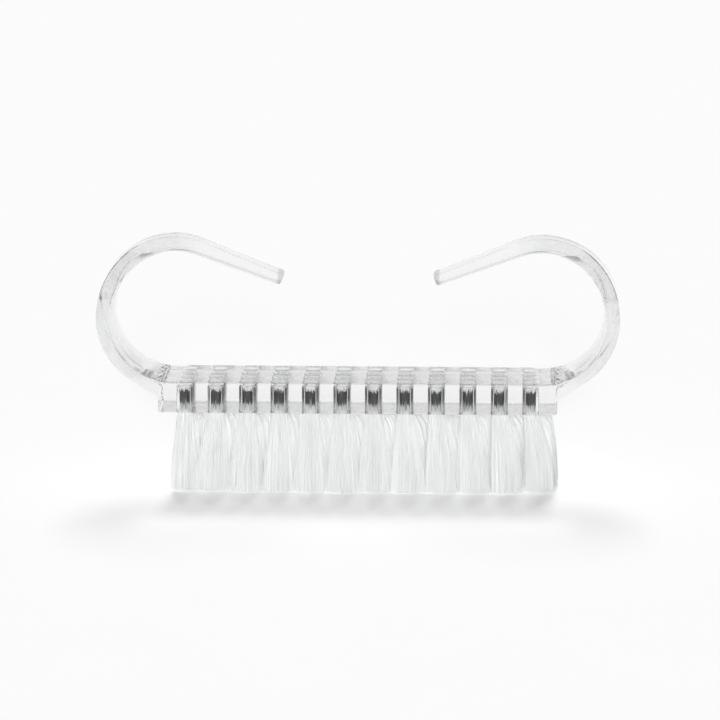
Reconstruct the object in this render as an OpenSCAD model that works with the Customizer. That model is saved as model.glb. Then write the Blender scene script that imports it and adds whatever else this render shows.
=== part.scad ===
// Manicure dust brush. One clear moulded block, whose two arms sweep out of its ends and curl
// over it as finger hooks, holds rows of nylon tufts. Each tuft is folded over a flat metal
// anchor at the blind end of its own hole.
// X runs along the brush, -Y is its front and Z points up. The bristle tips rest on z = 0.

/* [Block] */
// Length of the block along X
block_w = 78; // [70:1:100]
// Depth of the block from front to back
block_d = 16.5; // [15.5:0.5:24]
// Height of the block
block_h = 6.1; // [5:0.1:10]

/* [Arms] */
// Inner radius of the finger hooks
hook_r = 12.6; // [9:0.1:16]
// Distance of a hook's centre from the end of the block
hook_inset = 3; // [1.5:0.1:6]
// How far a hook's inner curve dips under the top of the block
hook_dip = 0.15; // [0.05:0.05:0.5]
// Thickness of an arm at its outermost point
arm_side_t = 2.5; // [1.8:0.1:4]
// Thickness of an arm at its highest point
arm_top_t = 2.8; // [2:0.1:4]
// Thickness of an arm under the hook
arm_low_t = 2; // [1.5:0.1:3]
// Slope of the underside where an arm leaves the block, in degrees
root_slope = 33; // [28:1:45]
// Depth of the narrow finger at the end of an arm
finger_d = 5.5; // [4:0.5:12]
// Length of the straight finger
finger_l = 17.2; // [8:0.1:20]
// Downward slope of the finger, in degrees
finger_slope = 22; // [5:1:30]
// Thickness of the finger at its tip
tip_t = 2.1; // [1.6:0.1:3]
// Radius of the corners of the tip
tip_r = 0.6; // [0.2:0.1:0.7]
// Place on the arm where its narrowing starts, in degrees above its outermost point
narrow_from = -4; // [-10:1:30]
// Place on the hook where its narrowing ends, in degrees above its outermost point
narrow_to = 75; // [60:1:80]

/* [Tufts] */
// Distance from the middle of the end columns of holes to the ends of the block
column_margin = 5.1; // [4:0.1:7]
// Distance from the middle of the outer rows of holes to the front and back of the block
row_margin = 2.3; // [2.2:0.1:3]
// Diameter of a tuft hole
hole_d = 3.3; // [2.6:0.1:3.4]
// Thickness of the roof over a tuft hole
roof_t = 0.7; // [0.4:0.1:1.5]
// Length of the bristles below the block
bristle_l = 16.1; // [8:0.1:30]
// Width across a bristle bundle strand
strand_w = 0.5; // [0.3:0.05:0.55]
// Gap between neighbouring tufts at their tips
tuft_gap = 0.3; // [0.2:0.1:1.5]
// How much further out the tips of the end columns stand than their roots
flare_x = 1.6; // [0:0.1:4]
// How much further out the tips of the outer rows stand than their roots
flare_y = 0.9; // [0:0.1:3]
// How far all the tips lean to the right
lean_x = 0.8; // [0:0.1:3]

/* [Anchors] */
// Height of an anchor
anchor_h = 2; // [1:0.1:2.6]
// Thickness of an anchor
anchor_t = 0.4; // [0.3:0.05:0.6]
// Height of the fold of filament above an anchor
fold_h = 1.2; // [0.6:0.1:1.6]

/* [Hidden] */
columns = 12;
rows = 4;
strands = 9;
round_fn = 96;
bore_fn = 48;
plug_sides = 8;
strand_sides = 3;
golden_turn = 137.508;
overrun = 1;
seam = 0.5;
finger_bite = 0.02;
root_lap = 2;
plug_clearance = 0.1;
anchor_clearance = 0.1;
strand_wall = 0.05;
strand_root = 1;

block_z0 = bristle_l;
block_z1 = block_z0 + block_h;
hole_top = block_z1 - roof_t;

hook_x = block_w / 2 - hook_inset;
hook_z = block_z1 + hook_r - hook_dip;
arm_r = hook_r + (arm_top_t + arm_low_t) / 2;
arm_x = hook_x + hook_r + arm_side_t - arm_r;
arm_z = hook_z + (arm_top_t - arm_low_t) / 2;
arm_top = arm_z + arm_r;
finger_turn = 90 + finger_slope;
finger_root_t = arm_r - hook_r + (arm_x - hook_x) * cos(finger_turn) + (arm_z - hook_z) * sin(finger_turn);
narrow_z0 = arm_z + arm_r * sin(narrow_from);
narrow_z1 = hook_z + hook_r * sin(narrow_to);

column_pitch = (block_w - 2 * column_margin) / (columns - 1);
row_pitch = (block_d - 2 * row_margin) / (rows - 1);

plug_r = hole_d / 2 - plug_clearance;
plug_top = hole_top - plug_clearance;
anchor_top = plug_top - fold_h;
anchor_w = 2 * plug_r;
strand_r = strand_w / sqrt(3);
root_spread = plug_r * cos(180 / plug_sides) - strand_r - strand_wall;
tip_spread_x = (column_pitch + 2 * flare_x / (columns - 1) - tuft_gap) / 2 - strand_r;
tip_spread_y = (row_pitch + 2 * flare_y / (rows - 1) - tuft_gap) / 2 - strand_r;

TUFTS = [for (r = [1:rows]) for (c = [1:columns]) str("tuft_r", r, "_c", c)];
ANCHORS = [for (r = [1:rows]) str("anchors_row", r)];

// Place of a column, counted from the left, and of a row, counted from the front
function column_x(c) = (c - (columns + 1) / 2) * column_pitch;
function row_y(r) = (r - (rows + 1) / 2) * row_pitch;

// Shift of a tuft's tips against its root: outer tufts flare out, and all of them lean alike
function tip_shift(r, c) = [
    lean_x + flare_x * column_x(c) / column_x(columns),
    flare_y * row_y(r) / row_y(rows)
];

// Even spread of the strands over a round of radius 1, mirrored in the back rows
function spread(i, r) =
    sqrt((i + 0.5) / strands) * [cos(i * golden_turn), sin(i * golden_turn) * (r > rows / 2 ? -1 : 1)];

// Extrudes an outline drawn in X and Z, centred on y = 0
module across(depth) {
    rotate([90, 0, 0]) linear_extrude(depth, center = true) children();
}

// The bend of the right arm, from its root in the block to its highest point
module bend_outline() {
    a = root_slope - 90;
    foot = [arm_x + arm_r * cos(a), arm_z + arm_r * sin(a)];
    foot_z = foot[1] - (foot[0] - block_w / 2) * tan(root_slope);
    difference() {
        union() {
            intersection() {
                translate([arm_x, arm_z]) circle(arm_r, $fn = round_fn);
                translate([arm_x, arm_z - arm_r]) square([arm_r, 2 * arm_r]);
            }
            polygon([foot, [block_w / 2, foot_z], [arm_x, foot_z], [arm_x, arm_z]]);
        }
        translate([hook_x, hook_z]) circle(hook_r, $fn = round_fn);
    }
}

// A place given along and across the finger, turned into the arm's own directions
function at_finger(x, y) =
    [x * cos(finger_turn) - y * sin(finger_turn), x * sin(finger_turn) + y * cos(finger_turn)];

// The end of the right arm past its highest point: the last of the curve, then the finger.
// The curve ends on a slant inside the finger's root, so that the two share no edge.
module finger_outline() {
    inner_x = arm_r - finger_root_t;
    difference() {
        translate([arm_x, arm_z]) {
            intersection() {
                circle(arm_r, $fn = round_fn);
                polygon([
                    [0, 0],
                    [seam, 0],
                    [seam, 2 * arm_r],
                    at_finger(arm_r + overrun, root_lap),
                    at_finger(arm_r - finger_root_t / 2, 0),
                    at_finger(inner_x - overrun, -seam)
                ]);
            }
            rotate(finger_turn) finger_blade(inner_x);
        }
        translate([hook_x, hook_z]) circle(hook_r, $fn = round_fn);
    }
}

// The straight finger, lengthwise along +Y from the arm's curve, with round corners at its tip.
// Both its long faces run on into the curve by the seam and cross it.
module finger_blade(inner_x) {
    outer_x = arm_r - finger_bite;
    tip_x = outer_x - tip_t;
    tip_y = finger_l - tip_r;
    slope = (tip_x - inner_x) / tip_y;
    polygon([
        [inner_x - seam * slope, -seam],
        [outer_x, -seam],
        [outer_x, tip_y],
        [outer_x - tip_r, finger_l],
        [tip_x + tip_r, finger_l],
        [tip_x, tip_y]
    ]);
    for (x = [outer_x - tip_r, tip_x + tip_r]) translate([x, tip_y]) circle(tip_r, $fn = bore_fn);
}

// What an arm keeps of the block's depth, seen from the end of the brush
module arm_depth_outline() {
    low = block_z0;
    high = arm_top + overrun;
    polygon([
        [-block_d / 2, low],
        [block_d / 2, low],
        [block_d / 2, narrow_z0],
        [finger_d / 2, narrow_z1],
        [finger_d / 2, high],
        [-finger_d / 2, high],
        [-finger_d / 2, narrow_z1],
        [-block_d / 2, narrow_z0]
    ]);
}

module arm() {
    intersection() {
        across(block_d) bend_outline();
        rotate([90, 0, 90]) linear_extrude(arm_x + arm_r + overrun) arm_depth_outline();
    }
    across(finger_d) finger_outline();
}

module tuft_holes() {
    for (r = [1:rows], c = [1:columns])
        translate([column_x(c), row_y(r), block_z0 - overrun])
            cylinder(h = hole_top - block_z0 + overrun, d = hole_d, $fn = bore_fn);
}

// The clear handle, moulded in one piece
module body() {
    color("aliceblue", 0.5) difference() {
        union() {
            translate([-block_w / 2, -block_d / 2, block_z0]) cube([block_w, block_d, block_h]);
            arm();
            mirror([1, 0, 0]) arm();
        }
        tuft_holes();
    }
}

// One straight strand with flat ends, from a point inside the plug to a point on z = 0
module strand(top, foot) {
    turns = [for (k = [0:strand_sides - 1]) 360 * k / strand_sides];
    rim = [for (t = turns) strand_r * [cos(t), sin(t)]];
    top_z = block_z0 + strand_root;
    points = concat([for (p = rim) [foot[0] + p[0], foot[1] + p[1], 0]],
                    [for (p = rim) [top[0] + p[0], top[1] + p[1], top_z]]);
    n = strand_sides;
    sides = [for (k = [0:n - 1]) for (half = [0, 1])
        half == 0 ? [k, n + k, n + (k + 1) % n] : [k, n + (k + 1) % n, (k + 1) % n]];
    caps = [[for (k = [0:n - 1]) k], [for (k = [0:n - 1]) 2 * n - 1 - k]];
    polyhedron(points, concat(sides, caps));
}

// A tuft: filaments folded over their anchor, packed in the hole and spread below it
module tuft(r, c) {
    place = [column_x(c), row_y(r)];
    shift = tip_shift(r, c);
    slot_h = anchor_h + 2 * anchor_clearance;
    slot_t = anchor_t + 2 * anchor_clearance;
    color("white") union() {
        difference() {
            translate([place[0], place[1], block_z0])
                cylinder(h = plug_top - block_z0, r = plug_r, $fn = plug_sides);
            translate([place[0] - plug_r - overrun, place[1] - slot_t / 2, anchor_top + anchor_clearance - slot_h])
                cube([2 * (plug_r + overrun), slot_t, slot_h]);
        }
        for (i = [0:strands - 1]) {
            p = spread(i, r);
            strand(place + root_spread * p, place + shift + [tip_spread_x * p[0], tip_spread_y * p[1]]);
        }
    }
}

// The flat metal anchors of one row of tufts
module anchors(r) {
    color("dimgray") for (c = [1:columns])
        translate([column_x(c) - anchor_w / 2, row_y(r) - anchor_t / 2, anchor_top - anchor_h])
            cube([anchor_w, anchor_t, anchor_h]);
}

body();
for (r = [1:rows]) {
    for (c = [1:columns]) tuft(r, c);
    anchors(r);
}
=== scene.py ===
"""Looks of a manicure dust brush: a clear moulded handle with finger hooks, nylon tufts and their anchors."""

import math

import bmesh
import bpy
from bpy.props import FloatProperty, FloatVectorProperty, IntProperty, PointerProperty
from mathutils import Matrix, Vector
from mathutils.geometry import delaunay_2d_cdt


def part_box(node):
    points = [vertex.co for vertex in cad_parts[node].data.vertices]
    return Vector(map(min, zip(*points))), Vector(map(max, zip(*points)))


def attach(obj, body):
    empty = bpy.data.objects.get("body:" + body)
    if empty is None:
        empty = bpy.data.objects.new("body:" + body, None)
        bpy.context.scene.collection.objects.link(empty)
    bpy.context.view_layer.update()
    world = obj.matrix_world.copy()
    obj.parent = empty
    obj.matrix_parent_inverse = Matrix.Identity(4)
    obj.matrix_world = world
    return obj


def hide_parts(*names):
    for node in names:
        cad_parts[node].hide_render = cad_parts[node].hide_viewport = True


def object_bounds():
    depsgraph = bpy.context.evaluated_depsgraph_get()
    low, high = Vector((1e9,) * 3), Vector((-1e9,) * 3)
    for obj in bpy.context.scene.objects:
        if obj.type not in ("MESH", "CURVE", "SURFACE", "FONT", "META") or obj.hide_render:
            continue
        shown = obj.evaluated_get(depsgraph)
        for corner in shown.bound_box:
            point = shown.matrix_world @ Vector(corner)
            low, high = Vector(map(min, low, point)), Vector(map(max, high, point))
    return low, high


bl_info = {
    "name": "Manicure Dust Brush",
    "version": (1, 0, 0),
    "blender": (4, 5, 0),
    "location": "View3D > Sidebar > Dust Brush",
    "description": "Builds a clear dust brush with finger hooks around its packed frame",
    "category": "Add Mesh",
}

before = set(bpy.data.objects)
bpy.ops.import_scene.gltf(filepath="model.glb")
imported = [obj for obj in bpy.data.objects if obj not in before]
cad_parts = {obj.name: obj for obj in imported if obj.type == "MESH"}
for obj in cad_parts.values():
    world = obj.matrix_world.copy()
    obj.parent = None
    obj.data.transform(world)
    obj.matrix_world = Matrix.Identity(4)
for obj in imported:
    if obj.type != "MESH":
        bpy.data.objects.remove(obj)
cad_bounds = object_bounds()

MM = 0.001
BODY = "root"
COLUMNS = 12
ROWS = 4
# Places closer than this are the same
SAME_PLACE = 0.001 * MM
# How far the tips at the right end may stand outside their CAD tufts
RIGHT_OVERHANG = 0.4 * MM


# Places that the frame gives


def body_box():
    """Lowest and highest corner of the handle."""
    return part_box("body")


def tuft_name(row, column):
    return f"tuft_r{row}_c{column}"


def anchors_name(row):
    return f"anchors_row{row}"


def hole_places():
    """Middle of every tuft hole in X and Y, by row and column, read from the anchors that sit in the
    holes."""
    places = {}
    for row in range(1, ROWS + 1):
        low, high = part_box(anchors_name(row))
        anchor_width = high.x - low.x - (COLUMNS - 1) * column_pitch()
        first = low.x + anchor_width / 2
        for column in range(1, COLUMNS + 1):
            places[row, column] = (first + (column - 1) * column_pitch(), (low.y + high.y) / 2)
    return places


def column_pitch():
    """Distance between neighbouring columns of tufts."""
    settings = bpy.context.scene.brush_handle
    return (settings.block_length - 2 * settings.column_margin) / (COLUMNS - 1)


# Sizes and colours that a user may change


class HandleSettings(bpy.types.PropertyGroup):
    block_length: FloatProperty(
        name="Block Length", description="Length of the bar that holds the tufts",
        default=78 * MM, min=70 * MM, max=90 * MM, unit="LENGTH")
    column_margin: FloatProperty(
        name="Column Margin", description="From the end columns of holes to the ends of the block",
        default=5.1 * MM, min=4 * MM, max=7 * MM, unit="LENGTH")
    block_height: FloatProperty(
        name="Block Height", description="Height of the bar", default=6.1 * MM, min=5 * MM, max=10 * MM,
        unit="LENGTH")
    hook_radius: FloatProperty(
        name="Hook Radius", description="Inner radius of the finger hooks", default=12.6 * MM,
        min=9 * MM, max=16 * MM, unit="LENGTH")
    hook_inset: FloatProperty(
        name="Hook Inset", description="From a hook's centre to the end of the block", default=3 * MM,
        min=1 * MM, max=6 * MM, unit="LENGTH")
    hook_dip: FloatProperty(
        name="Hook Dip", description="How far a hook's curve dips under the top of the block",
        default=0.15 * MM, min=0.05 * MM, max=0.5 * MM, unit="LENGTH")
    arm_top: FloatProperty(
        name="Arm Top", description="Thickness of an arm at its highest point", default=2.8 * MM,
        min=2 * MM, max=4 * MM, unit="LENGTH")
    arm_low: FloatProperty(
        name="Arm Low", description="Thickness of an arm under the hook", default=2 * MM,
        min=1.5 * MM, max=3 * MM, unit="LENGTH")
    root_slope: FloatProperty(
        name="Root Slope", description="Slope of an arm's underside at its root",
        default=math.radians(33), subtype="ANGLE")
    root_fillet: FloatProperty(
        name="Root Fillet", description="Radius of the corner between an arm and the end of the block",
        default=0.6 * MM, min=0.2 * MM, max=1 * MM, unit="LENGTH")
    finger_depth: FloatProperty(
        name="Finger Depth", description="Depth of the narrow finger at the end of an arm",
        default=5.5 * MM, min=4 * MM, max=12 * MM, unit="LENGTH")
    finger_length: FloatProperty(
        name="Finger Length", description="Length of the straight finger", default=17.2 * MM,
        min=8 * MM, max=20 * MM, unit="LENGTH")
    finger_slope: FloatProperty(
        name="Finger Slope", description="Downward slope of the finger", default=math.radians(22),
        subtype="ANGLE")
    tip_thickness: FloatProperty(
        name="Tip Thickness", description="Thickness of the finger at its tip", default=2.1 * MM,
        min=1.6 * MM, max=3 * MM, unit="LENGTH")
    tip_radius: FloatProperty(
        name="Tip Radius", description="Radius of the corners of the tip", default=0.6 * MM,
        min=0.2 * MM, max=0.7 * MM, unit="LENGTH")
    narrow_from: FloatProperty(
        name="Narrow From", description="Place on the arm where it starts to narrow",
        default=math.radians(-4), subtype="ANGLE")
    narrow_to: FloatProperty(
        name="Narrow To", description="Place on the hook where its narrowing ends",
        default=math.radians(75), subtype="ANGLE")
    edge_radius: FloatProperty(
        name="Edge Radius", description="Radius of the handle's long edges", default=0.3 * MM,
        min=0.1 * MM, max=0.5 * MM, unit="LENGTH")
    crown: FloatProperty(
        name="Crown", description="How far the inside of a hook bulges at half its depth",
        default=0.6 * MM, min=0, max=2 * MM, unit="LENGTH")
    crown_growth: FloatProperty(
        name="Crown Growth", description="Turn of the hook over which that bulge grows from nothing",
        default=math.radians(55), min=math.radians(10), max=math.radians(80), subtype="ANGLE")
    hole_diameter: FloatProperty(
        name="Hole Diameter", description="Diameter of a tuft hole", default=3.3 * MM,
        min=2.6 * MM, max=3.4 * MM, unit="LENGTH")
    roof: FloatProperty(
        name="Roof", description="Thickness of the roof over a tuft hole", default=0.7 * MM,
        min=0.4 * MM, max=1.5 * MM, unit="LENGTH")
    refraction: FloatProperty(
        name="Refraction", description="Index of refraction of the clear plastic", default=1.5,
        min=1.3, max=1.7)
    # The arms' greyer colour is painted shade: the bar and the arms are one clear plastic.
    shaded_tint: FloatVectorProperty(
        name="Arm Tint", description="Colour of the clear plastic in the arms",
        default=(0.8, 0.805, 0.805), size=3, min=0, max=1, subtype="COLOR")
    # The bar's own clear colour, which the fingers also take as a painted highlight.
    block_tint: FloatVectorProperty(
        name="Block Tint", description="Colour of the clear plastic in the bar",
        default=(0.93, 0.935, 0.935), size=3, min=0, max=1, subtype="COLOR")


class BristleSettings(bpy.types.PropertyGroup):
    folds: IntProperty(
        name="Folded Filaments", description="Filaments in a tuft, each folded into two legs",
        default=120, min=10, max=200)
    diameter: FloatProperty(
        name="Filament Diameter", description="Thickness of a nylon filament", default=0.15 * MM,
        min=0.08 * MM, max=0.4 * MM, unit="LENGTH")
    pack_radius: FloatProperty(
        name="Pack Radius", description="Radius of a tuft where it is packed in its hole",
        default=1.5 * MM, min=1 * MM, max=1.6 * MM, unit="LENGTH")
    lean: FloatProperty(
        name="Lean", description="How far all the tips lean to the right", default=0.3 * MM,
        min=0, max=3 * MM, unit="LENGTH")
    flare_x: FloatProperty(
        name="Flare Along", description="How much further out the tips of the end columns stand",
        default=1.4 * MM, min=0, max=4 * MM, unit="LENGTH")
    flare_y: FloatProperty(
        name="Flare Across", description="How much further out the tips of the outer rows stand",
        default=0.6 * MM, min=0, max=3 * MM, unit="LENGTH")
    ragged: FloatProperty(
        name="Raggedness", description="How much the filaments' lengths differ", default=0.25 * MM,
        min=0, max=2 * MM, unit="LENGTH")
    early_spread: FloatProperty(
        name="Early Spread", description="How early a tuft opens under its hole: 1 is evenly over its length",
        default=1.6, min=1, max=4)
    mouth_lean: FloatProperty(
        name="Mouth Lean", description="How much more each row leans to the right just under the bar than "
        "the row in front of it", default=0.9 * MM, min=0, max=2 * MM, unit="LENGTH")
    row_lean: FloatProperty(
        name="Row Lean",
        description="How much more the tips of each row lean to the right than those in front",
        default=0.9 * MM, min=0, max=2 * MM, unit="LENGTH")
    overlap_x: FloatProperty(
        name="Overlap Along", description="How far neighbouring tufts of a row reach into each other",
        default=0.35 * MM, min=-1 * MM, max=2 * MM, unit="LENGTH")
    overlap_y: FloatProperty(
        name="Overlap Across", description="How far neighbouring tufts of a column reach into each other",
        default=0.4 * MM, min=0, max=2 * MM, unit="LENGTH")
    trim_rise: FloatProperty(
        name="Trim Rise", description="How much higher the bristles end at both ends of the brush",
        default=0.5 * MM, min=0, max=2 * MM, unit="LENGTH")
    bow: FloatProperty(
        name="Bow", description="How far a filament bows out of a straight line", default=0.08 * MM,
        min=0, max=1 * MM, unit="LENGTH")
    colour: FloatVectorProperty(
        name="Nylon Colour", description="Colour of the nylon", default=(0.97, 0.975, 0.975), size=3,
        min=0, max=1, subtype="COLOR")


class AnchorSettings(bpy.types.PropertyGroup):
    colour: FloatVectorProperty(
        name="Metal Colour", description="Colour of the anchors", default=(0.2, 0.2, 0.21), size=3,
        min=0, max=1, subtype="COLOR")


class StageSettings(bpy.types.PropertyGroup):
    floor_size: FloatProperty(
        name="Floor Size", description="Width of the floor", default=12, min=1, max=50, unit="LENGTH")
    floor_colour: FloatVectorProperty(
        name="Floor Colour", description="Colour of the floor", default=(0.9, 0.9, 0.9), size=3,
        min=0, max=1, subtype="COLOR")
    floor_lift: FloatProperty(
        name="Floor Lift", description="How much whiter the floor shows than it is lit", default=0.22,
        min=0, max=1)
    camera_distance: FloatProperty(
        name="Camera Distance", description="From the camera to the brush", default=0.8, min=0.3, max=3,
        unit="LENGTH")
    camera_yaw: FloatProperty(
        name="Camera Yaw", description="How far the camera stands to the right of the front",
        default=math.radians(2.08), subtype="ANGLE")
    camera_elevation: FloatProperty(
        name="Camera Elevation", description="How high the camera stands",
        default=math.radians(12), subtype="ANGLE")
    focal_length: FloatProperty(
        name="Focal Length", description="Focal length of the camera in millimetres", default=203.05,
        min=35, max=400)


# Meshes


def turned(angle, length=1.0):
    """A vector in X and Z at an angle above +X."""
    return Vector((length * math.cos(angle), length * math.sin(angle)))


def outline_arc(centre, radius, start, end, step, hollow=False):
    """Points of an outline along an arc, each with its normal out of the material.
    The normal of a hollow arc points to its centre."""
    count = max(1, math.ceil(abs(end - start) / step))
    points = []
    for i in range(count + 1):
        out = turned(start + (end - start) * i / count)
        points.append((centre + out * radius, -out if hollow else out))
    return points


class ArmShape:
    """The places of the right arm in X and Z, worked out from the handle's sizes."""

    def __init__(self, settings):
        past_hook = 2.5 * MM
        low, high = body_box()
        self.half_depth = high.y
        self.finger_half_depth = settings.finger_depth / 2
        self.bottom = low.z
        self.top = low.z + settings.block_height
        self.end = settings.block_length / 2
        hook_x = self.end - settings.hook_inset
        self.hook = Vector((hook_x, self.top + settings.hook_radius - settings.hook_dip))
        self.radius = settings.hook_radius + (settings.arm_top + settings.arm_low) / 2
        self.centre = Vector((high.x - self.radius, self.hook.y + (settings.arm_top - settings.arm_low) / 2))
        self.foot_angle = settings.root_slope - math.pi / 2
        self.foot = self.centre + turned(self.foot_angle, self.radius)
        self.root_z = self.foot.y - (self.foot.x - self.end) * math.tan(settings.root_slope)
        self.finger_angle = math.pi / 2 + settings.finger_slope
        self.narrow_start_z = self.centre.y + self.radius * math.sin(settings.narrow_from)
        self.narrow_end_z = self.hook.y + settings.hook_radius * math.sin(settings.narrow_to)
        self.finger_start = self.hook.x - past_hook
        self.along = turned(self.finger_angle + math.pi / 2)
        self.out = turned(self.finger_angle)
        heel = self.centre + self.out * self.radius
        self.tip_x = (heel + self.along * settings.finger_length - self.out * settings.tip_thickness).x

    def half_depth_at(self, x, z):
        """Half the depth of the arm, which narrows upwards and stays narrow along the finger."""
        if abs(x) < self.centre.x and z > self.top + self.radius / 2:
            return self.finger_half_depth
        share = (z - self.narrow_start_z) / (self.narrow_end_z - self.narrow_start_z)
        share = min(max(share, 0), 1)
        return self.half_depth + (self.finger_half_depth - self.half_depth) * share


def right_outline(settings, shape):
    """The right half of the handle's outline, from the middle of its underside up to the middle of its
    top: places, normals out of the material and how far the surface bulges there."""
    step = math.radians(1.5)
    corner_step = math.radians(15)
    fillet_step = math.radians(10)
    root_steps = 12
    finger_steps = 30
    closest = 0.01 * MM
    bottom_corner = 0.5 * MM
    edge = settings.edge_radius
    points = []

    def add(places, bulge=0.0):
        for place, normal in places:
            if not points or (place - points[-1][0]).length > closest:
                amount = bulge(place) if callable(bulge) else bulge
                points.append((place, normal, amount))

    down, right, up = Vector((0, -1)), Vector((1, 0)), Vector((0, 1))
    shares = [0, 0.25, 0.5, 0.75]
    corner_x = shape.end - bottom_corner
    corner_centre = Vector((corner_x, shape.bottom + bottom_corner))
    add([(Vector((corner_x * share, shape.bottom)), down) for share in shares])
    add(outline_arc(corner_centre, bottom_corner, -math.pi / 2, 0, corner_step))
    fillet = settings.root_fillet
    fillet_z = shape.root_z - fillet * (1 - math.sin(settings.root_slope)) / math.cos(settings.root_slope)
    add([(Vector((shape.end, shape.bottom + (fillet_z - shape.bottom) / 2)), right)])
    add(outline_arc(Vector((shape.end + fillet, fillet_z)), fillet, math.pi,
                    math.pi / 2 + settings.root_slope, fillet_step, hollow=True))
    start = points[-1][0]
    under = turned(shape.foot_angle)
    add([(start.lerp(shape.foot, i / root_steps), under) for i in range(1, root_steps)])

    def crease_angles(centre, radius):
        levels = [shape.narrow_start_z, shape.narrow_end_z]
        return [math.asin((level - centre.y) / radius) for level in levels]

    def arc_through(centre, radius, rim, start_angle, end_angle, hollow):
        """An arc that has a point where its rim crosses each crease."""
        stops = sorted([start_angle, end_angle] + crease_angles(centre, rim), reverse=end_angle < start_angle)
        arc = []
        for first, last in zip(stops, stops[1:]):
            arc += outline_arc(centre, radius, first, last, step, hollow)
        return arc

    add(arc_through(shape.centre, shape.radius, shape.radius - edge, shape.foot_angle, shape.finger_angle,
                    False))
    heel = shape.centre + turned(shape.finger_angle, shape.radius)
    length = settings.finger_length
    corner = settings.tip_radius
    outer_corner = heel + shape.along * (length - corner) - shape.out * corner
    inner_corner = outer_corner - shape.out * (settings.tip_thickness - 2 * corner)
    add([(heel + shape.along * (length - corner) * i / finger_steps, shape.out)
         for i in range(1, finger_steps)])
    angle = shape.finger_angle
    add(outline_arc(outer_corner, corner, angle, angle + math.pi / 2, corner_step))
    add([((outer_corner + inner_corner) / 2 + shape.along * corner, shape.along)])
    add(outline_arc(inner_corner, corner, angle + math.pi / 2, angle + math.pi, corner_step))
    toe = points[-1][0]
    inner_heel = shape.hook + turned(shape.finger_angle, settings.hook_radius)
    inner_normal = -(Vector(((inner_heel - toe).y, -(inner_heel - toe).x))).normalized()
    if inner_normal.dot(shape.out) > 0:
        inner_normal = -inner_normal

    def bulge(place):
        """Grows from nothing over the block to its full height beside the hook, and is gone over the
        finger."""
        angle = math.atan2(place.y - shape.hook.y, place.x - shape.hook.x)
        if angle < -math.pi * 2 / 3:
            angle += 2 * math.pi
        low_share = (angle + math.pi / 2) / settings.crown_growth
        high_share = (shape.finger_angle - angle) / settings.crown_growth
        share = min(max(min(low_share, high_share), 0), 1)
        return settings.crown * share * share * (3 - 2 * share)

    add([(toe.lerp(inner_heel, i / finger_steps), inner_normal) for i in range(1, finger_steps)])
    top_angle = -math.pi / 2 - math.acos((settings.hook_radius - settings.hook_dip) / settings.hook_radius)
    add(arc_through(shape.hook, settings.hook_radius, settings.hook_radius + edge, shape.finger_angle,
                    top_angle, True), bulge)
    ridge_x = points[-1][0].x
    add([(Vector((ridge_x * share, shape.top)), up) for share in reversed(shares)])
    return points


def handle_outline(settings, shape):
    """The closed outline of the handle, counterclockwise as seen from the front."""
    right = right_outline(settings, shape)
    left = [(Vector((-place.x, place.y)), Vector((-normal.x, normal.y)), bulge)
            for place, normal, bulge in reversed(right[1:-1])]
    return right + left


def depth_profile():
    """Steps across the depth of the handle. On the rounded edges a step has its inset from the outline
    and its distance from the face, in edge radii, and across the middle its share of the way."""
    edge_steps = 5
    middle_steps = 12
    front = []
    for i in range(edge_steps + 1):
        angle = math.pi / 2 * i / edge_steps
        front.append((1 - math.sin(angle), 1 - math.cos(angle)))
    rows = [("front", inset, back) for inset, back in front]
    rows += [("middle", 0, i / middle_steps) for i in range(1, middle_steps)]
    rows += [("back", inset, back) for inset, back in reversed(front)]
    return rows


def build_handle_mesh(settings):
    """The handle as one closed mesh: a wall round its outline, a flat front and back, and the tuft holes."""
    shape = ArmShape(settings)
    outline = handle_outline(settings, shape)
    rows = depth_profile()
    edge = settings.edge_radius
    mesh = bmesh.new()
    grid = []
    for place, normal, bulge in outline:
        line = []
        for kind, inset, step in rows:
            if kind == "middle":
                half = shape.half_depth_at(place.x, place.y) - edge
                y = -half + 2 * half * step
                spot = place + normal * bulge * (1 - (y / half) ** 2)
            else:
                spot = place - normal * inset * edge
                y = shape.half_depth_at(spot.x, spot.y) - edge * step
                y = -y if kind == "front" else y
            line.append(mesh.verts.new((spot.x, y, spot.y)))
        grid.append(line)
    first_middle = next(i for i, row in enumerate(rows) if row[0] == "middle") - 1
    last_middle = len(rows) - 1 - first_middle
    count = len(outline)
    bottom_ends = [i for i, point in enumerate(outline) if abs(point[0].y - shape.bottom) < SAME_PLACE]
    for i in range(count):
        after = (i + 1) % count
        on_bottom = i in bottom_ends and after in bottom_ends
        for row in range(len(rows) - 1):
            if on_bottom and first_middle <= row < last_middle:
                continue
            mesh.faces.new((grid[i][row], grid[i][row + 1], grid[after][row + 1], grid[after][row]))
    for side, forward in ((0, True), (len(rows) - 1, False)):
        rim = [line[side] for line in grid]
        fill_flat(mesh, [rim], lambda vertex: (vertex.co.x, vertex.co.z), forward, crease_pairs(rim, shape))
    bottom = bottom_rim(grid, bottom_ends, first_middle, last_middle)
    mouths = []
    for place in hole_places().values():
        mouths.append(add_hole(mesh, settings, shape, place))
    fill_flat(mesh, [bottom] + mouths, lambda vertex: (vertex.co.x, vertex.co.y), False, [])
    unused = [vertex for vertex in mesh.verts if not vertex.link_faces]
    bmesh.ops.delete(mesh, geom=unused, context="VERTS")
    data = bpy.data.meshes.new("clear_handle")
    mesh.normal_update()
    mesh.to_mesh(data)
    mesh.free()
    return data


def bottom_rim(grid, ends, first, last):
    """The vertices round the flat of the underside, in order."""
    left_to_right = sorted(ends, key=lambda i: grid[i][first].co.x)
    front = [grid[i][first] for i in left_to_right]
    right = [grid[left_to_right[-1]][row] for row in range(first + 1, last)]
    back = [grid[i][last] for i in reversed(left_to_right)]
    left = [grid[left_to_right[0]][row] for row in range(last - 1, first, -1)]
    return front + right + back + left


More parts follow.
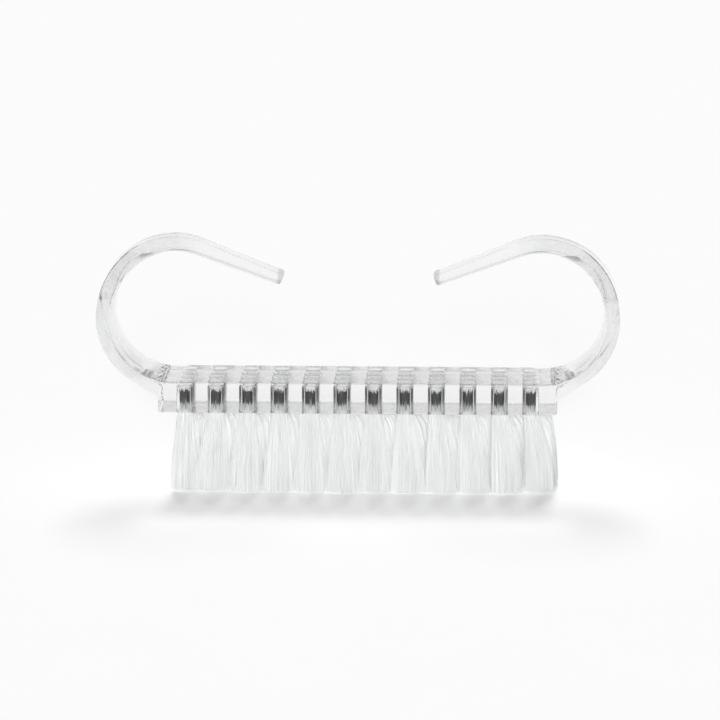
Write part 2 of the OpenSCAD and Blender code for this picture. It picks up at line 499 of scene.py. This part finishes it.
def crease_pairs(rim, shape):
    """Pairs of rim vertices that the creases join, where the narrowing starts and where it ends."""
    pairs = []
    for level in (shape.narrow_start_z, shape.narrow_end_z):
        for sign in (1, -1):
            near = [i for i, vertex in enumerate(rim)
                    if abs(vertex.co.z - level) < SAME_PLACE and sign * vertex.co.x > shape.centre.x]
            if len(near) != 2:
                raise RuntimeError(f"a crease at {level:.5f} m has {len(near)} ends, not 2")
            pairs.append(tuple(near))
    return pairs


def inside(point, loop):
    """True if a point lies inside a closed loop of points."""
    x, y = point
    crossed = False
    for (start_x, start_y), (end_x, end_y) in zip(loop, loop[1:] + loop[:1]):
        if (start_y > y) != (end_y > y):
            edge_x = (end_x - start_x) * (y - start_y) / (end_y - start_y) + start_x
            if x < edge_x:
                crossed = not crossed
    return crossed


def fill_flat(mesh, loops, flatten, forward, pairs):
    """Fills the first loop of vertices with triangles, around the other loops and along the pairs' edges."""
    merge_distance = 1e-6
    verts = [vertex for loop in loops for vertex in loop]
    places = [Vector(flatten(vertex)) / MM for vertex in verts]
    edges = list(pairs)
    start = 0
    outlines = []
    for loop in loops:
        count = len(loop)
        edges += [(start + i, start + (i + 1) % count) for i in range(count)]
        outlines.append([tuple(places[start + i]) for i in range(count)])
        start += count
    new, _, triangles, origin, _, _ = delaunay_2d_cdt(places, edges, [], 0, merge_distance)
    if len(new) != len(verts):
        raise RuntimeError(f"filling a flat face changed {len(verts)} points into {len(new)}")
    back = [sources[0] for sources in origin]
    for triangle in triangles:
        middle = sum((Vector(new[i]) for i in triangle), Vector((0, 0))) / 3
        if not inside(middle, outlines[0]) or any(inside(middle, hole) for hole in outlines[1:]):
            continue
        corners = [verts[back[i]] for i in triangle]
        mesh.faces.new(corners if forward else corners[::-1])


def add_hole(mesh, settings, shape, place):
    """A blind tuft hole with a chamfered mouth and a rounded end. Returns the ring of its mouth."""
    sides = 32
    chamfer = 0.12 * MM
    fillet = 0.35 * MM
    radius = settings.hole_diameter / 2
    roof = shape.top - settings.roof
    section = [(radius + chamfer, shape.bottom), (radius, shape.bottom + chamfer), (radius, roof - fillet)]
    for degrees in (30, 60, 90):
        angle = math.radians(degrees)
        section.append((radius - fillet * (1 - math.cos(angle)), roof - fillet * (1 - math.sin(angle))))
    rings = []
    for ring_radius, z in section:
        ring = []
        for i in range(sides):
            angle = 2 * math.pi * i / sides
            x = place[0] + ring_radius * math.cos(angle)
            y = place[1] + ring_radius * math.sin(angle)
            ring.append(mesh.verts.new((x, y, z)))
        rings.append(ring)
    for low, high in zip(rings, rings[1:]):
        for i in range(sides):
            after = (i + 1) % sides
            mesh.faces.new((low[after], low[i], high[i], high[after]))
    mesh.faces.new(rings[-1][::-1])
    return rings[0]


def smooth_with_sharp_edges(piece, angle):
    """Smooth shading that keeps edges sharper than the angle, with normals that follow the large faces."""
    mesh = piece.data
    mesh.polygons.foreach_set("use_smooth", [True] * len(mesh.polygons))
    mesh.set_sharp_from_angle(angle=angle)
    weights = piece.modifiers.new("normals", "WEIGHTED_NORMAL")
    weights.mode = "FACE_AREA"
    weights.weight = 100
    weights.keep_sharp = True
    return bake_modifiers(piece)


def bake_modifiers(piece):
    """Turns what the piece's modifiers make into its plain mesh."""
    graph = bpy.context.evaluated_depsgraph_get()
    result = bpy.data.meshes.new_from_object(
        piece.evaluated_get(graph), preserve_all_data_layers=True, depsgraph=graph)
    piece.modifiers.clear()
    old = piece.data
    piece.data = result
    result.name = piece.name
    if old.users == 0:
        bpy.data.meshes.remove(old)
    return piece


def add_piece(name, mesh, material=None):
    piece = bpy.data.objects.new(name, mesh)
    bpy.context.scene.collection.objects.link(piece)
    if material is not None:
        mesh.materials.clear()
        mesh.materials.append(material)
    return piece


# Materials


class Nodes:
    """A short way to add nodes to a tree and join them."""

    def __init__(self, tree):
        self.tree = tree
        tree.nodes.clear()

    def add(self, kind, inputs=None, **fields):
        node = self.tree.nodes.new(kind)
        for key, value in fields.items():
            setattr(node, key, value)
        for key, value in (inputs or {}).items():
            self.set(node, key, value)
        return node

    def set(self, node, key, value):
        socket = node.inputs[key]
        if isinstance(value, bpy.types.Node):
            value = next(output for output in value.outputs if output.enabled)
        if isinstance(value, bpy.types.NodeSocket):
            self.tree.links.new(value, socket)
        else:
            socket.default_value = value

    def math(self, operation, first, second=0.0, third=None):
        inputs = {0: first, 1: second}
        if third is not None:
            inputs[2] = third
        return self.add("ShaderNodeMath", inputs, operation=operation)

    def plus(self, first, second):
        return self.math("ADD", first, second)

    def minus(self, first, second):
        return self.math("SUBTRACT", first, second)

    def times(self, first, second):
        return self.math("MULTIPLY", first, second)

    def least(self, first, second):
        return self.math("MINIMUM", first, second)

    def most(self, first, second):
        return self.math("MAXIMUM", first, second)

    def place(self, coordinates="Object"):
        """The X, Y and Z of the piece's own coordinates, or of others."""
        texture = self.add("ShaderNodeTexCoord")
        return self.add("ShaderNodeSeparateXYZ", {"Vector": texture.outputs[coordinates]}).outputs

    def noise(self, stretch=(1, 1, 1), scale=1.0, detail=2.0, roughness=0.5):
        """Noise on the piece's own coordinates in millimetres, which the stretch multiplies."""
        texture = self.add("ShaderNodeTexCoord")
        millimetres = self.add("ShaderNodeMapping", {
            "Vector": texture.outputs["Object"], "Scale": tuple(share / MM for share in stretch)})
        return self.add("ShaderNodeTexNoise", {
            "Vector": millimetres, "Scale": scale, "Detail": detail, "Roughness": roughness}).outputs["Fac"]

    def fade(self, value, start, end, low=0.0, high=1.0):
        """Goes from low to high while the value goes from start to end, and no further."""
        return self.add("ShaderNodeMapRange", {
            "Value": value, "From Min": start, "From Max": end, "To Min": low, "To Max": high})

    def seen_rays(self, camera=False):
        """1 for rays that a mirror or the plastic sends on, and for those of the camera if asked."""
        path = self.add("ShaderNodeLightPath")
        seen = self.most(path.outputs["Is Glossy Ray"], path.outputs["Is Transmission Ray"])
        if camera:
            seen = self.most(seen, path.outputs["Is Camera Ray"])
        return seen

    def blend(self, kind, share, lower, upper):
        """Mixes or multiplies two colours."""
        node = self.add("ShaderNodeMix", data_type="RGBA", blend_type=kind)
        factor, first, second = (socket for socket in node.inputs if socket.enabled)
        for socket, value in ((factor, share), (first, lower), (second, upper)):
            self.set(node, list(node.inputs).index(socket), value)
        return node

    def ramp(self, value, stops):
        node = self.add("ShaderNodeValToRGB", {"Fac": value})
        elements = node.color_ramp.elements
        while len(elements) < len(stops):
            elements.new(0.5)
        for element, (place, colour) in zip(elements, stops):
            element.position = place
            element.color = (*colour, 1)
        return node

    def grey_ramp(self, value, stops):
        return self.ramp(value, [(place, grey(level)) for place, level in stops])


def grey(level):
    return (level, level, level)


def darker(colour, share):
    """A colour with each channel brought down to a share of itself."""
    return tuple(channel * share for channel in colour)


def new_material(name):
    material = bpy.data.materials.new(name)
    material.use_nodes = True
    return material, Nodes(material.node_tree)


def pass_shadow_rays(nodes, surface, let_through):
    """Ends a material with its surface, which shadow rays pass in the colour that is let through."""
    passing = nodes.add("ShaderNodeBsdfTransparent", {"Color": let_through})
    path = nodes.add("ShaderNodeLightPath")
    mixed = nodes.add("ShaderNodeMixShader", {0: path.outputs["Is Shadow Ray"], 1: surface, 2: passing})
    nodes.add("ShaderNodeOutputMaterial", {"Surface": mixed})


def clear_plastic(settings, shape):
    """Clear moulded plastic with faint flow waves and a little haze. Its underside is frosted and speckled.
    The arms are coloured greyer than the bar as painted shade, the fingers take the bar's clearer colour
    as a painted highlight, and the ends of the fingers are frosted and painted darker as painted shade.
    It passes most shadow rays."""
    skin = 0.05 * MM
    above_bar = 1.5 * MM
    into_bar = 0.5 * MM
    clear_of_bar = 1 * MM
    finger_fade = 3 * MM
    tip_face = 0.5 * MM
    tip_roughness = 0.35
    light_tint_share = 0.7
    # Grey of the painted shade at the ends of the fingers.
    tip_painted_shade = (*grey(0.75), 1)
    shadow_stops = [(0.0, 0.95), (0.3, 0.9), (0.6, 0.8), (1.0, 0.4)]
    material, nodes = new_material("clear_plastic")
    place = nodes.place()
    height = place["Z"]
    across = nodes.math("ABSOLUTE", place["X"])
    waves = nodes.noise((0.35, 0.9, 0.9))
    haze = nodes.noise(scale=0.8, detail=4.0, roughness=0.6)
    speckle = nodes.noise(scale=2.2, detail=3.0, roughness=0.7)
    bump = nodes.add("ShaderNodeBump", {"Strength": 0.12, "Distance": 0.02 * MM, "Height": waves})

    underside = nodes.math("LESS_THAN", height, shape.bottom + skin)
    in_block = nodes.fade(height, shape.top + above_bar, shape.top - into_bar)
    # The fingers take the bar's clearer colour: a painted highlight.
    finger_painted_highlight = nodes.fade(across, shape.finger_start + finger_fade, shape.finger_start - finger_fade)
    finger_painted_highlight = nodes.times(finger_painted_highlight, nodes.math("GREATER_THAN", height, shape.hook.y))
    # The ends of the fingers are frosted, and painted darker grey as painted shade.
    tip_frost_and_shade = nodes.math("LESS_THAN", across, shape.tip_x + tip_face)
    tip_frost_and_shade = nodes.times(tip_frost_and_shade, nodes.math("GREATER_THAN", height, shape.top + clear_of_bar))

    rough = nodes.fade(haze, 0.4, 0.8, low=0.02, high=0.08)
    frost = nodes.fade(speckle, 0.38, 0.62, low=0.05, high=0.4)
    rough = nodes.most(rough, nodes.times(underside, frost))
    rough = nodes.most(rough, nodes.times(tip_frost_and_shade, tip_roughness))
    light = tuple(1 - (1 - channel) * light_tint_share for channel in settings.shaded_tint)
    # The arms' colour, greyer than the bar's, is painted shade; the haze varies it at random.
    shaded_tint = nodes.ramp(haze, [(0.42, tuple(settings.shaded_tint)), (0.62, light)])
    shaded_tint = nodes.blend("MIX", nodes.most(in_block, finger_painted_highlight), shaded_tint, (*settings.block_tint, 1))
    speckled = nodes.grey_ramp(speckle, [(0.38, 0.8), (0.52, 1)])
    shaded_tint = nodes.blend("MULTIPLY", underside, shaded_tint, speckled)
    shaded_tint = nodes.blend("MIX", tip_frost_and_shade, shaded_tint, tip_painted_shade)
    plastic = nodes.add("ShaderNodeBsdfPrincipled", {
        "Base Color": shaded_tint, "Roughness": rough, "IOR": settings.refraction, "Transmission Weight": 1.0,
        "Normal": bump})
    slant = nodes.add("ShaderNodeLayerWeight", {"Blend": 0.5}).outputs["Facing"]
    pass_shadow_rays(nodes, plastic, nodes.grey_ramp(slant, shadow_stops))
    return material


def nylon(settings, mouth, anchor_low, anchor_top):
    """White nylon, whose filaments differ a little. At the height of the anchors it is painted dark: painted
    shade in the holes, where the dark metal also shows through it. Low down behind the front row it is
    greyer with painted shade. It passes most shadow rays."""
    over_anchor = 1.3 * MM
    unevenness = 4 * MM
    shade_top = 9 * MM
    shade_front = -7 * MM
    shade_back = -2 * MM
    shade_grey = 0.75
    streak_share = 0.96
    outside_pass = 0.93
    hole_pass = 0.99
    top = anchor_top + over_anchor
    low = (anchor_low - mouth) / (top - mouth)
    high = (anchor_top - mouth) / (top - mouth)
    # Dark at the anchors' height: painted shade in the holes, where the dark metal also shows through the
    # nylon. Strands chosen at random are darker over more of the hole.
    plain_stops = [(0.0, 1), (0.05, 0.9), (low - 0.08, 0.8), (low - 0.02, 0.02), (high + 0.05, 0.02),
                   (high + 0.09, 0.95), (1.0, 1)]
    marked_stops = [(0.0, 1), (0.05, 0.5), (low - 0.03, 0.2), (low + 0.03, 0.01), (high - 0.03, 0.01),
                    (high + 0.05, 0.8), (1.0, 1)]
    material, nodes = new_material("white_nylon")
    place = nodes.place()
    streaks = nodes.noise((5, 5, 0.12))
    strands = nodes.noise((2.6, 2.6, 0.05), detail=3.0)
    tone = nodes.ramp(streaks, [(0.3, darker(settings.colour, streak_share)),
                                (0.55, tuple(settings.colour))])
    uneven = nodes.math("MULTIPLY_ADD", strands, unevenness, -unevenness / 2)
    height = nodes.fade(nodes.plus(place["Z"], uneven), mouth, top)
    chosen = nodes.grey_ramp(strands, [(0.42, 1), (0.5, 0)])
    depth = nodes.blend("MIX", chosen, nodes.grey_ramp(height, plain_stops),
                        nodes.grey_ramp(height, marked_stops))
    # Painted shade: greyer low down behind the front row, where the dense curtain is in shade.
    painted_shade_mask = nodes.times(nodes.fade(place["Z"], shade_top, 0.0),
                        nodes.fade(place["Y"], shade_front, shade_back))
    shade = nodes.grey_ramp(painted_shade_mask, [(0.0, 1), (1.0, shade_grey)])
    colour = nodes.blend("MULTIPLY", 1.0, nodes.blend("MULTIPLY", 1.0, tone, depth), shade)
    fibre = nodes.add("ShaderNodeBsdfPrincipled", {
        "Base Color": colour, "Roughness": 0.5, "IOR": 1.53, "Specular IOR Level": 0.25})
    in_hole = nodes.math("GREATER_THAN", place["Z"], mouth)
    pass_shadow_rays(nodes, fibre, nodes.grey_ramp(in_hole, [(0.0, outside_pass), (1.0, hole_pass)]))
    return material


def anchor_metal(settings):
    """Dark drawn metal with fine lines along the wire."""
    line_share = 0.6
    material, nodes = new_material("anchor_metal")
    lines = nodes.noise((0.5, 12, 12), detail=3.0)
    tone = nodes.ramp(lines, [(0.35, darker(settings.colour, line_share)),
                              (0.65, tuple(settings.colour))])
    rough = nodes.fade(lines, 0.0, 1.0, low=0.28, high=0.5)
    metal = nodes.add("ShaderNodeBsdfPrincipled", {"Base Color": tone, "Roughness": rough, "Metallic": 1.0})
    nodes.add("ShaderNodeOutputMaterial", {"Surface": metal})
    return material


def floor_paint(settings):
    """A matt pale floor that shows white to the camera and through the plastic, and keeps its shadows."""
    grain_share = 0.995
    material, nodes = new_material("pale_floor")
    grain = nodes.noise(scale=0.05)
    tone = nodes.ramp(grain, [(0.3, darker(settings.floor_colour, grain_share)),
                              (0.7, tuple(settings.floor_colour))])
    paint = nodes.add("ShaderNodeBsdfDiffuse", {"Color": tone})
    seen = nodes.seen_rays(camera=True)
    lift = nodes.add("ShaderNodeEmission", {"Strength": nodes.times(seen, settings.floor_lift)})
    lifted = nodes.add("ShaderNodeAddShader", {0: paint, 1: lift})
    nodes.add("ShaderNodeOutputMaterial", {"Surface": lifted})
    return material


# Bristles


def bristle_tree():
    """Geometry nodes for one tuft: filaments folded over the anchor, packed in the hole and fanned below
    it. A thread's steps count from its fold down both legs: the fold, its shoulder, the side of the
    anchor, the mouth of the hole and so on to the tip."""
    tip_step = 7
    mouth_step = 3
    thread_points = 2 * tip_step + 1
    seed_step = 31.0
    # Share of the pack radius, and shares of the room between the anchor and the roof
    widest_place = 0.95
    lowest_fold = 0.2
    fold_range = 0.75
    # How much of the spread follows a leg's place in its hole, and how much is chance
    fan_along = 0.85
    fan_across = 0.8
    wander_along = 0.19
    wander_across = 0.25
    # Shares of a leg's distance from the anchor's middle and of the fold's height
    shoulder_width = 0.8
    shoulder_drop = 0.3
    # Brings the bow to one at its highest, half way down, where the two shares multiply to a quarter
    bow_scale = 4.0
    under_anchor_top = 0.2 * MM
    swing_power = 8.0

    tree = bpy.data.node_groups.new("folded_tuft", "GeometryNodeTree")
    interface = tree.interface
    interface.new_socket("Geometry", in_out="OUTPUT", socket_type="NodeSocketGeometry")
    inputs = {
        "Geometry": "Geometry", "Folds": "Int", "Filament Diameter": "Float", "Hole": "Vector",
        "Pack Radius": "Float", "Anchor Gap": "Float", "Anchor Top": "Float", "Fold Top": "Float",
        "Tip Shift": "Vector", "Spread Left": "Float", "Spread Right": "Float", "Spread Across": "Float",
        "Mouth Shift": "Float", "Early Spread": "Float", "Tip Height": "Float", "Raggedness": "Float",
        "Bow": "Float", "Seed": "Int", "Material": "Material"}
    for name, kind in inputs.items():
        interface.new_socket(name, in_out="INPUT", socket_type=f"NodeSocket{kind}")
    nodes = Nodes(tree)
    given = nodes.add("NodeGroupInput").outputs

    def chance(number, ident, low=0.0, high=1.0):
        """A seeded random number for each filament or leg."""
        seed = nodes.plus(nodes.times(given["Seed"], seed_step), float(number))
        return nodes.add("FunctionNodeRandomValue", {2: low, 3: high, "ID": ident, "Seed": seed},
                         data_type="FLOAT")

    def either_way(number, ident, most):
        """A seeded random number up to the most in both directions."""
        return chance(number, ident, -most, most)

    def between(start, end, share):
        """The place that lies a share of the way from the start to the end."""
        return nodes.plus(start, nodes.times(nodes.minus(end, start), share))

    points = nodes.add("GeometryNodePoints", {"Count": given["Folds"]})
    straight = nodes.add("GeometryNodeCurvePrimitiveLine")
    line = nodes.add("GeometryNodeResampleCurve", {"Curve": straight, "Count": thread_points})
    copies = nodes.add("GeometryNodeInstanceOnPoints", {"Points": points, "Instance": line})
    threads = nodes.add("GeometryNodeRealizeInstances", {"Geometry": copies})

    index = nodes.add("GeometryNodeInputIndex")
    fold = nodes.math("FLOOR", nodes.math("DIVIDE", nodes.plus(index, 0.5), float(thread_points)))
    offset = nodes.minus(nodes.minus(index, nodes.times(fold, float(thread_points))), float(tip_step))
    side = nodes.math("SIGN", offset)
    step = nodes.math("ROUND", nodes.math("ABSOLUTE", offset))
    leg = nodes.plus(nodes.times(fold, 2.0), nodes.most(side, 0.0))

    radius = given["Pack Radius"]
    gap = given["Anchor Gap"]
    anchor_top = given["Anchor Top"]
    across = either_way(1, fold, widest_place)
    outward = chance(2, fold)
    place_x = nodes.times(across, radius)
    chord = nodes.times(radius, nodes.math("SQRT", nodes.minus(1.0, nodes.times(across, across))))
    reach = nodes.most(nodes.minus(chord, gap), 0.0)
    leg_y = nodes.times(side, nodes.plus(gap, nodes.times(reach, outward)))
    fold_share = nodes.math("MULTIPLY_ADD", outward, fold_range, lowest_fold)
    fold_z = between(anchor_top, given["Fold Top"], fold_share)

    hole = nodes.add("ShaderNodeSeparateXYZ", {"Vector": given["Hole"]}).outputs
    shift = nodes.add("ShaderNodeSeparateXYZ", {"Vector": given["Tip Shift"]}).outputs
    share = nodes.math("DIVIDE", nodes.minus(step, float(mouth_step)), float(tip_step - mouth_step))
    share = nodes.least(nodes.most(share, 0.0), 1.0)
    rest = nodes.minus(1.0, share)
    opened = nodes.minus(1.0, nodes.math("POWER", rest, given["Early Spread"]))
    swung = nodes.minus(1.0, nodes.math("POWER", rest, swing_power))
    lie_x = nodes.plus(nodes.times(across, fan_along), either_way(3, leg, wander_along))
    to_right = nodes.times(nodes.most(lie_x, 0.0), given["Spread Right"])
    to_left = nodes.times(nodes.least(lie_x, 0.0), given["Spread Left"])
    tip_x = nodes.plus(nodes.plus(to_right, to_left), shift["X"])
    lie_y = nodes.plus(nodes.times(nodes.math("DIVIDE", leg_y, radius), fan_across),
                       either_way(4, leg, wander_across))
    tip_y = nodes.plus(nodes.times(lie_y, given["Spread Across"]), shift["Y"])
    tip_z = nodes.plus(given["Tip Height"], nodes.times(given["Raggedness"], chance(7, leg)))
    bow = nodes.times(nodes.times(nodes.times(share, rest), bow_scale), given["Bow"])
    mouth_x = nodes.plus(place_x, nodes.times(given["Mouth Shift"], swung))
    leg_x = nodes.plus(between(mouth_x, tip_x, opened), nodes.times(bow, either_way(5, leg, 1.0)))
    down_y = nodes.plus(between(leg_y, tip_y, opened), nodes.times(bow, either_way(6, leg, 1.0)))
    down_z = between(hole["Z"], tip_z, share)

    def by_step(values):
        """Takes the first values at a thread's first steps and the last one from the mouth on."""
        switch = nodes.add("GeometryNodeIndexSwitch", data_type="FLOAT")
        while len(switch.index_switch_items) < len(values):
            switch.index_switch_items.new()
        case = nodes.least(step, float(mouth_step))
        for number, value in enumerate((case, *values)):
            nodes.set(switch, number, value)
        return switch

    shoulder_z = nodes.minus(fold_z, nodes.times(nodes.minus(fold_z, anchor_top), shoulder_drop))
    anchor_z = nodes.minus(anchor_top, under_anchor_top)
    thread_y = by_step((0.0, nodes.times(leg_y, shoulder_width), leg_y, down_y))
    thread_z = by_step((fold_z, shoulder_z, anchor_z, down_z))
    place = nodes.add("ShaderNodeCombineXYZ", {
        "X": nodes.plus(hole["X"], leg_x), "Y": nodes.plus(hole["Y"], thread_y), "Z": thread_z})
    laid = nodes.add("GeometryNodeSetPosition", {"Geometry": threads, "Position": place})
    ring = nodes.add("GeometryNodeCurvePrimitiveCircle", {
        "Resolution": 4, "Radius": nodes.times(given["Filament Diameter"], 0.5)})
    tubes = nodes.add("GeometryNodeCurveToMesh", {
        "Curve": laid, "Profile Curve": ring.outputs["Curve"], "Fill Caps": True})
    smooth = nodes.add("GeometryNodeSetShadeSmooth", {"Geometry": tubes})
    whole = nodes.add("GeometryNodeRealizeInstances", {"Geometry": smooth})
    done = nodes.add("GeometryNodeSetMaterial", {"Geometry": whole, "Material": given["Material"]})
    nodes.add("NodeGroupOutput", {"Geometry": done})
    return tree


def set_inputs(modifier, values):
    """Sets a modifier's inputs by their names in its node group."""
    for item in modifier.node_group.interface.items_tree:
        if item.item_type == "SOCKET" and item.in_out == "INPUT" and item.name in values:
            modifier[item.identifier] = values[item.name]


# Operators


class BRUSH_OT_handle(bpy.types.Operator):
    """Build the clear handle with its tuft holes and finger hooks"""
    bl_idname = "dust_brush.handle"
    bl_label = "Clear Handle"

    def execute(self, context):
        settings = context.scene.brush_handle
        sharp_angle = math.radians(28)
        material = clear_plastic(settings, ArmShape(settings))
        handle = add_piece("clear_handle", build_handle_mesh(settings), material)
        smooth_with_sharp_edges(handle, sharp_angle)
        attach(handle, BODY)
        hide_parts("body")
        return {"FINISHED"}


class BRUSH_OT_bristles(bpy.types.Operator):
    """Build the tufts of nylon filaments, each folded over its anchor"""
    bl_idname = "dust_brush.bristles"
    bl_label = "Nylon Tufts"

    def execute(self, context):
        settings = context.scene.brush_bristles
        handle = context.scene.brush_handle
        fold_clearance = 0.12 * MM
        anchor_clearance = 0.1 * MM
        end_wall = 1 * MM
        trim_start = 0.6
        tip_lift = settings.diameter / 4
        low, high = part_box(anchors_name(1))
        mouth = body_box()[0].z
        fold_top = mouth + handle.block_height - handle.roof - fold_clearance
        anchor_gap = (high.y - low.y) / 2 + anchor_clearance
        material = nylon(settings, mouth, low.z, high.z)
        tree = bristle_tree()
        places = hole_places()
        last_x = places[1, COLUMNS][0]
        last_y = places[ROWS, 1][1]
        pitch_y = places[2, 1][1] - places[1, 1][1]
        spread_x = column_pitch() / 2 + settings.overlap_x
        spread_y = pitch_y / 2 + settings.overlap_y
        left_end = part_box(tuft_name(1, 1))[0].x
        right_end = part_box(tuft_name(1, COLUMNS))[1].x + RIGHT_OVERHANG
        back_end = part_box(tuft_name(ROWS, 1))[1].y - settings.diameter
        for (row, column), (x, y) in places.items():
            shift_x = settings.lean + settings.flare_x * x / last_x + settings.row_lean * (row - 1)
            shift_y = settings.flare_y * y / last_y
            room_under_bar = handle.block_length / 2 - end_wall - settings.pack_radius - x
            end_share = max(abs(x) / last_x - trim_start, 0) / (1 - trim_start)
            name = f"bristles_r{row}_c{column}"
            tuft = add_piece(name, bpy.data.meshes.new(name))
            nodes = tuft.modifiers.new("tuft", "NODES")
            nodes.node_group = tree
            set_inputs(nodes, {
                "Folds": settings.folds, "Filament Diameter": settings.diameter, "Hole": (x, y, mouth),
                "Pack Radius": settings.pack_radius, "Anchor Gap": anchor_gap, "Anchor Top": high.z,
                "Fold Top": fold_top, "Tip Shift": (shift_x, shift_y, 0),
                "Spread Left": min(spread_x, x + shift_x - left_end),
                "Spread Right": min(spread_x, right_end - x - shift_x),
                "Spread Across": min(spread_y, back_end - abs(y + shift_y)),
                "Mouth Shift": min(settings.mouth_lean * (row - 1), room_under_bar),
                "Early Spread": settings.early_spread,
                "Tip Height": tip_lift + settings.trim_rise * end_share ** 2,
                "Raggedness": settings.ragged, "Bow": settings.bow, "Seed": 100 * row + column,
                "Material": material})
            bake_modifiers(tuft)
            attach(tuft, BODY)
            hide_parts(tuft_name(row, column))
        return {"FINISHED"}


class BRUSH_OT_anchors(bpy.types.Operator):
    """Finish the flat metal anchors that hold the tufts"""
    bl_idname = "dust_brush.anchors"
    bl_label = "Anchors"

    def execute(self, context):
        material = anchor_metal(context.scene.brush_anchors)
        for row in range(1, ROWS + 1):
            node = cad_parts[anchors_name(row)]
            node.data.materials.clear()
            node.data.materials.append(material)
        return {"FINISHED"}


class BRUSH_OT_stage(bpy.types.Operator):
    """Set up the floor, the light and the camera"""
    bl_idname = "dust_brush.stage"
    bl_label = "Stage"

    def execute(self, context):
        settings = context.scene.brush_stage
        add_floor(settings)
        add_world(context.scene)
        add_lamps(context.scene, settings)
        add_camera(context.scene, settings)
        context.scene.view_settings.view_transform = "Standard"
        cycles = context.scene.cycles
        cycles.max_bounces = 32
        cycles.diffuse_bounces = 10
        cycles.transmission_bounces = 32
        cycles.glossy_bounces = 12
        cycles.transparent_max_bounces = 32
        return {"FINISHED"}


def add_floor(settings):
    squares = 8
    mesh = bpy.data.meshes.new("floor")
    build = bmesh.new()
    bmesh.ops.create_grid(build, x_segments=squares, y_segments=squares, size=settings.floor_size / 2)
    build.to_mesh(mesh)
    build.free()
    floor = add_piece("floor", mesh, floor_paint(settings))


def add_world(scene):
    """Faint even light all round and a white backdrop. Mirrored and refracted rays see a white studio
    with a darker belt above eye level, which lights nothing else."""
    even_strength = 0.15
    belt_stops = [(0.5, 1), (0.6, 0.9), (0.68, 0.55), (0.78, 0.55), (0.86, 1)]
    world = bpy.data.worlds.new("studio")
    world.use_nodes = True
    nodes = Nodes(world.node_tree)
    height = nodes.fade(nodes.place("Generated")["Z"], -1.0, 1.0)
    belt = nodes.grey_ramp(height, belt_stops)
    studio = nodes.add("ShaderNodeBackground", {"Color": belt, "Strength": 1.0})
    even = nodes.add("ShaderNodeBackground", {"Color": (*grey(1), 1), "Strength": even_strength})
    white = nodes.add("ShaderNodeBackground", {"Color": (*grey(1), 1), "Strength": 1.0})
    light = nodes.add("ShaderNodeMixShader", {0: nodes.seen_rays(), 1: even, 2: studio})
    path = nodes.add("ShaderNodeLightPath")
    all_rays = nodes.add("ShaderNodeMixShader", {0: path.outputs["Is Camera Ray"], 1: light, 2: white})
    nodes.add("ShaderNodeOutputWorld", {"Surface": all_rays})
    scene.world = world


def add_lamps(scene, settings):
    """A soft lamp high behind the brush and a harder one low in front of it. Mirrored and refracted rays
    don't see them."""
    lamps = {
        "back_light": {"strength": 2.4, "spread": 18, "elevation": 46, "yaw": math.pi},
        "front_light": {"strength": 1.6, "spread": 6, "elevation": 15, "yaw": settings.camera_yaw},
    }
    for name, given in lamps.items():
        data = bpy.data.lights.new(name, "SUN")
        data.energy = given["strength"]
        data.angle = math.radians(given["spread"])
        lamp = bpy.data.objects.new(name, data)
        rise = math.tan(math.radians(given["elevation"]))
        direction = Vector((math.sin(given["yaw"]), -math.cos(given["yaw"]), rise))
        lamp.rotation_euler = direction.to_track_quat("Z", "Y").to_euler()
        lamp.visible_glossy = False
        lamp.visible_transmission = False
        scene.collection.objects.link(lamp)


def add_camera(scene, settings):
    """A camera that looks just to the right of the middle of the brush and just above it."""
    aim_right = 0.24 * MM
    aim_up = 0.14 * MM
    low, high = cad_bounds
    target = Vector((aim_right, 0, (low[2] + high[2]) / 2 + aim_up))
    level = math.cos(settings.camera_elevation)
    back = Vector((math.sin(settings.camera_yaw) * level, -math.cos(settings.camera_yaw) * level,
                   math.sin(settings.camera_elevation)))
    data = bpy.data.cameras.new("camera")
    data.lens = settings.focal_length
    data.sensor_width = 36
    data.clip_start = 0.01
    data.clip_end = 50
    camera = bpy.data.objects.new("camera", data)
    camera.location = target + back * settings.camera_distance
    camera.rotation_euler = back.to_track_quat("Z", "Y").to_euler()
    scene.collection.objects.link(camera)
    scene.camera = camera


class VIEW3D_PT_dust_brush(bpy.types.Panel):
    """Sizes, colours and steps of the dust brush"""
    bl_label = "Dust Brush"
    bl_space_type = "VIEW_3D"
    bl_region_type = "UI"
    bl_category = "Dust Brush"

    def draw(self, context):
        for (name, _), operator in zip(SETTINGS, OPERATORS):
            group = getattr(context.scene, name)
            box = self.layout.box()
            for setting in group.__annotations__:
                box.prop(group, setting)
            box.operator(operator.bl_idname)


SETTINGS = (("brush_handle", HandleSettings), ("brush_bristles", BristleSettings),
            ("brush_anchors", AnchorSettings), ("brush_stage", StageSettings))
OPERATORS = (BRUSH_OT_handle, BRUSH_OT_bristles, BRUSH_OT_anchors, BRUSH_OT_stage)


def register():
    for name, group in SETTINGS:
        bpy.utils.register_class(group)
        setattr(bpy.types.Scene, name, PointerProperty(type=group))
    for operator in OPERATORS:
        bpy.utils.register_class(operator)
    bpy.utils.register_class(VIEW3D_PT_dust_brush)


def unregister():
    bpy.utils.unregister_class(VIEW3D_PT_dust_brush)
    for operator in reversed(OPERATORS):
        bpy.utils.unregister_class(operator)
    for name, group in reversed(SETTINGS):
        delattr(bpy.types.Scene, name)
        bpy.utils.unregister_class(group)


def main():
    register()
    bpy.ops.dust_brush.stage()
    bpy.ops.dust_brush.handle()
    bpy.ops.dust_brush.bristles()
    bpy.ops.dust_brush.anchors()


if __name__ == "__main__":
    main()
